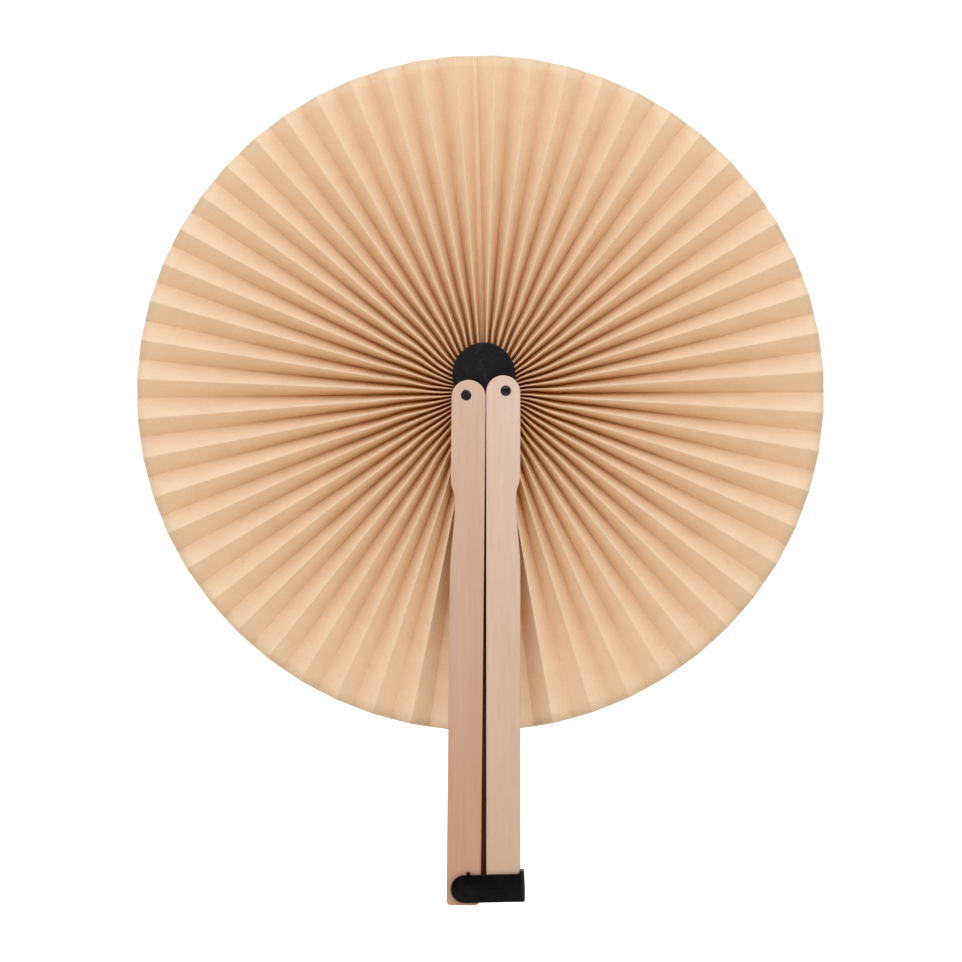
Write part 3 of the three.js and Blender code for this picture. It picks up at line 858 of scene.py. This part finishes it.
def leaf_swell(rng):
    """How far a leaf bows out of flat, row by row: slow waves of a tenth or two of a millimetre."""
    waves = rng.normal(SWELL_MEAN, SWELL_SPREAD) * np.sin(math.pi * ROWS)
    for count in SWELL_WAVES:
        height = rng.normal(0, SWELL_WAVE_SPREAD / count)
        waves = waves + height * np.sin(math.pi * count * ROWS + rng.uniform(0, FULL_TURN))
    return waves


def flap_columns(side, last):
    """The end leaf, glued flat on the arm's core strip: (points of a column, width so far)."""
    x, depth, z = last.T
    face = side * (CORE_OUTER + FLAP_GAP) + z * math.sin(MEETING_LEAN)
    columns = [(last, 0.0), (np.stack([x * 0.4 + face * 0.6, depth + 0.05, z], 1), 0.5)]
    for share in (0.0, 0.04, 0.3, 0.6, 0.96, 1.0):
        down = share * (LEAF_WIDTH - FLAP_MARGIN)
        column = np.stack([face, depth - FLAP_DROP - down, z], 1)
        columns.append((column, FLAP_MARGIN + down))
    return columns


def sheet_columns(side, lines):
    """The sheet as columns of points that run outwards, with each one's share of the arm's turn and
    its place along the flat strip."""
    rng = np.random.RandomState(40 + side)
    shares = closed_shares(side, lines)
    folds = []
    shared = np.array([1.0, 4.0])
    for n, line in enumerate(lines):
        shared = shared + rng.normal(0, WANDER_DRIFT, 2)
        room = min(1.0, max(0, n - 2) / 3, max(0, len(lines) - 2 - n) / 4)
        folds.append(along_fold(line, lambda radius: room * wander(rng, radius, shared)))
    columns, turns, places = [], [], []
    strip = 0.0
    for n, (start, end) in enumerate(zip(folds, folds[1:])):
        width = JOIN_FLANGE if n == 0 else LEAF_WIDTH
        across = np.cross(end[-1] - start[-1], start[-1] - start[0])
        normal = across / np.linalg.norm(across)
        swell = leaf_swell(rng) if n else ROWS * 0
        for u in CROSSINGS:
            bow = np.outer(swell * 4 * u * (1 - u), normal)
            columns.append(start + (end - start) * u + bow)
            turns.append(shares[n] + (shares[n + 1] - shares[n]) * u)
            places.append(strip + u * width)
        strip += width
    steps = len(CROSSINGS)
    for apex in range(steps, len(columns), steps):
        beside = (columns[apex - 1] + columns[apex + 1]) / 2
        columns[apex] = columns[apex] + (beside - columns[apex]) * APEX_PULL
    for column, distance in flap_columns(side, folds[-1]):
        columns.append(column)
        turns.append(1.0)
        places.append(strip + distance)
    return columns, turns, places


def make_paper(side):
    """One half of the disc: a thin pleated sheet between hub and arm, made as it lies open."""
    name = NAMES[side]
    lines = fold_lines(side)
    columns, turns, places = sheet_columns(side, lines)
    rows, count = len(ROWS), len(columns)
    faces = [
        (c * rows + r, (c + 1) * rows + r, (c + 1) * rows + r + 1, c * rows + r + 1)
        for c in range(count - 1) for r in range(rows - 1)
    ]
    paper = make_piece(f"{name}_paper", np.concatenate(columns) + HUB, faces, KRAFT,
                       None, f"{name}_pleated_paper")
    radius = row_distances(lines[FOLDS // 2])
    flat = np.stack([np.repeat(places, rows), np.tile(radius, count)], 1) * MM
    layer = paper.data.uv_layers.new(name="flat")
    corners = np.zeros(len(paper.data.loops), int)
    paper.data.loops.foreach_get("vertex_index", corners)
    layer.data.foreach_set("uv", flat[corners].ravel())

    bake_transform(paper)

    thick = paper.modifiers.new("thickness", "SOLIDIFY")
    thick.thickness = PAPER_THICKNESS * MM
    thick.offset = 0


# ---- Clasp ----

# The middle of its wall, and the lengths of its flat strap's stretches
CLASP_MIDDLE = SLAT_OUTER + CLASP_GAP + CLASP_WALL / 2
WALL_MIDDLE = CLASP_REACH + CLASP_WALL / 2
CHEEK = CLASP_HALF_HEIGHT + WALL_MIDDLE - CLASP_BEND
BEND = math.pi / 2 * CLASP_BEND
END_WALL = 2 * (CLASP_MIDDLE - CLASP_BEND)
STRAP = 2 * CHEEK + 2 * BEND + END_WALL


def strap_outline():
    """The strap laid out flat, from the front cheek's round end to the back cheek's.

    Its end wall stands a little above the cheeks.
    """
    h = CLASP_HALF_HEIGHT

    def lug(x0, x1):
        top = h + LUG_HEIGHT
        return [(x1, h), (x1 - LUG_TAPER, top), (x0 + LUG_TAPER, top), (x0, h)]

    shoulder = [(0.5, 0), (-0.1, 0.25), (-0.5, 0.85), (-0.9, 1.0)]
    loop = [(h, -h), (STRAP - h, -h)]
    loop += arc((STRAP - h, 0), h, -90, 90, 40)
    loop += lug(STRAP - h - LUG_RIGHT, STRAP - h - LUG_LEFT)
    loop += [(STRAP - CHEEK + out, h + END_WALL_RISE * up) for out, up in shoulder]
    loop += [(CHEEK - out, h + END_WALL_RISE * up) for out, up in reversed(shoulder)]
    loop += lug(h + LUG_LEFT, h + LUG_RIGHT)
    loop += arc((h, 0), h, 90, 270, 40)
    return loop


def wrapped(s, y, z):
    """A point of the flat strap, wrapped round both arms; -y is outwards."""
    out = -y
    if s < CHEEK:
        return s - CLASP_HALF_HEIGHT, -(CLASP_MIDDLE + out), z
    s -= CHEEK
    corner = WALL_MIDDLE - CLASP_BEND
    if s < BEND:
        turn = s / CLASP_BEND
        r = CLASP_BEND + out
        return corner + r * math.sin(turn), -(CLASP_MIDDLE - CLASP_BEND) - r * math.cos(turn), z
    s -= BEND
    if s < END_WALL:
        return WALL_MIDDLE + out, s - END_WALL / 2, z
    s -= END_WALL
    if s < BEND:
        turn = s / CLASP_BEND
        r = CLASP_BEND + out
        return corner + r * math.cos(turn), CLASP_MIDDLE - CLASP_BEND + r * math.sin(turn), z
    return corner - (s - BEND), CLASP_MIDDLE + out, z


def cheek_crown(s, z):
    """The cheeks' outer faces bulge a little between their edges."""
    from_end = min(s, STRAP - s)
    past = max(0.0, CLASP_HALF_HEIGHT - from_end)
    reach = math.hypot(past, z) / CLASP_HALF_HEIGHT
    return CLASP_CROWN * max(0.0, 1 - reach**2)


def make_clasp():
    """The flat strap is cut across, so that it can bend, and then wrapped; pips join its cheeks."""
    half = CLASP_WALL / 2
    bm = rounded_plate(strap_outline(), [], -half, half, CLASP_EDGE)
    stretches = [(start, start + BEND, 10) for start in (CHEEK, CHEEK + BEND + END_WALL)]
    stretches.append((CUT_MARGIN, STRAP - CUT_MARGIN, 34))
    cuts = [((s, 0, 0), (1, 0, 0)) for stretch in stretches for s in np.linspace(*stretch)]
    cuts += [((0, 0, z), (0, 0, 1)) for z in np.linspace(-CUT_HALF_HEIGHT, CUT_HALF_HEIGHT, 9)]
    for place, way in cuts:
        everything = bm.verts[:] + bm.edges[:] + bm.faces[:]
        bmesh.ops.bisect_plane(bm, geom=everything, dist=1e-5, plane_co=place, plane_no=way)
    points, faces = points_and_faces(bm)
    outer = points[:, 1] < -half + 0.01
    points[outer, 1] -= [cheek_crown(s, z) for s, _, z in points[outer]]
    points = np.array([wrapped(*p) for p in points])
    parts = [(points, faces)]
    root = SLAT_OUTER + CLASP_GAP
    tip = root - PIP_LENGTH
    for way in (-1, 1):
        profile = [
            (0, root + OVERLAP), (PIP_RADIUS, root + OVERLAP), (PIP_RADIUS, tip + PIP_CHAMFER),
            (PIP_RADIUS - 0.08, tip + 0.08), (PIP_RADIUS - PIP_CHAMFER, tip), (0, tip),
        ]
        pip, pip_faces = turned_piece(profile, 32)
        parts.append((pip * (1, way, 1), pip_faces))
    points, faces = joined(*parts)
    points = turned_about_y(points, CLASP_TURN) + CLASP_PIVOT
    piece = make_piece("clasp_strap", points, faces, CLASP_BLACK,
                       "clasp", "clasp")
    flat_faces_stay_flat(piece)


# ---- Studio ----

CAMERA_DISTANCE = 4.0
FIELD_WIDTH = 0.3505
CAMERA_AIM = (-0.0018, 0.1220)
FLOOR_RADIUS = 40.0
FLOOR_DROP = 0.22
FLOOR_GLOW = 0.7
FLOOR_TONE = (0.76, 0.71, 0.63)
WORLD_SEEN = 1.05
WORLD_ABOVE = 1.22
WORLD_BELOW = 0.72
TINT_ABOVE = (0.95, 0.975, 1.05)
TINT_BELOW = (1.05, 0.835, 0.52)
DARK_FRONT = math.cos(math.radians(20))
DARK_FRONT_EDGE = math.cos(math.radians(42))
KEY_PLACE = (0.0, -1.0, 0.78)
KEY_SIZE = (1.0, 0.5)
KEY_POWER = 4.3
KEY_COLOUR = (0.98, 1.01, 1.08)
BLACK_LEVEL = 0.012


def make_floor():
    """A broad pale cream floor some way below the fan, which hangs in the air. It looks white to
    the camera, and it warms the light from below."""
    material, tree, shader = new_material("pale_floor")
    place = node(tree, "TexCoord").outputs["Object"]
    tone = mixed(tree, noise(tree, place, 3, 2), rgba(FLOOR_TONE), rgba(FLOOR_TONE, (0.97,) * 3))
    tree.links.new(tone, shader.inputs["Base Color"])
    shader.inputs["Roughness"].default_value = 0.9
    shader.inputs["Emission Color"].default_value = (1, 1, 1, 1)
    seen = node(tree, "LightPath").outputs["Is Camera Ray"]
    glow = maths(tree, "MULTIPLY", seen, FLOOR_GLOW)
    tree.links.new(glow, shader.inputs["Emission Strength"])
    bm = bmesh.new()
    bmesh.ops.create_circle(bm, cap_ends=True, segments=96, radius=FLOOR_RADIUS)
    mesh = bpy.data.meshes.new("floor")
    bm.to_mesh(mesh)
    bm.free()
    mesh.materials.append(material)
    floor = bpy.data.objects.new("floor", mesh)
    floor.location = (0, 0, CAD_LOW.z - FLOOR_DROP)
    bpy.context.scene.collection.objects.link(floor)


def make_world():
    """Soft light from all round but the front, stronger and cooler above. The camera sees white."""
    world = bpy.data.worlds.new("studio")
    bpy.context.scene.world = world
    world.use_nodes = True
    tree = world.node_tree
    tree.nodes.clear()
    way = node(tree, "SeparateXYZ", {"Vector": node(tree, "TexCoord").outputs["Generated"]}).outputs
    beside = between(tree, way["Y"], -DARK_FRONT_EDGE, -DARK_FRONT, 1.0, 0.0)
    above = between(tree, way["Z"], -0.3, 0.6, WORLD_BELOW, WORLD_ABOVE)
    strength = maths(tree, "MULTIPLY", beside, above)
    tint = mixed(tree, between(tree, way["Z"], -0.3, 0.5), rgba(TINT_BELOW), rgba(TINT_ABOVE))
    lit = node(tree, "Background", {"Color": tint, "Strength": strength})
    seen = node(tree, "Background", {"Color": (1, 1, 1, 1), "Strength": WORLD_SEEN})
    ray = node(tree, "LightPath").outputs["Is Camera Ray"]
    mix = node(tree, "MixShader", {0: ray, 1: lit.outputs[0], 2: seen.outputs[0]})
    out = node(tree, "OutputWorld")
    tree.links.new(mix.outputs[0], out.inputs["Surface"])


def make_key_light():
    """A soft lamp above and in front, turned to the hub."""
    data = bpy.data.lights.new("key", "AREA")
    data.shape = "RECTANGLE"
    data.size, data.size_y = KEY_SIZE
    data.energy = KEY_POWER
    data.color = KEY_COLOUR
    light = bpy.data.objects.new("key", data)
    light.location = KEY_PLACE
    way = Vector(HUB * MM) - Vector(KEY_PLACE)
    light.rotation_euler = way.to_track_quat("-Z", "Y").to_euler()
    bpy.context.scene.collection.objects.link(light)


def make_camera():
    """Straight in front of the fan, a little long, as a product photograph is taken."""
    data = bpy.data.cameras.new("camera")
    data.sensor_width = 36
    data.lens = data.sensor_width * CAMERA_DISTANCE / FIELD_WIDTH
    data.clip_start, data.clip_end = 0.05, 100
    camera = bpy.data.objects.new("camera", data)
    camera.location = (CAMERA_AIM[0], -CAMERA_DISTANCE, CAMERA_AIM[1])
    camera.rotation_euler = (math.pi / 2, 0, 0)
    bpy.context.scene.collection.objects.link(camera)
    bpy.context.scene.camera = camera


make_camera()
make_world()
make_floor()
make_key_light()

for side in (LEFT, RIGHT):
    make_slats(side)
    make_core(side)
    make_grip_block(side)
    make_paper(side)
make_hub_plates()
make_studs()
make_thread()
make_clasp()
post = frame["nodes"]["hub_post"].data
post.materials.clear()
post.materials.append(HUB_BLACK)

bounces = bpy.context.scene.cycles
bounces.max_bounces = 16
bounces.diffuse_bounces = 12
view = bpy.context.scene.view_settings
view.view_transform = "Standard"
view.look = "None"
view.use_curve_mapping = True
view.curve_mapping.black_level = (BLACK_LEVEL,) * 3
view.curve_mapping.update()
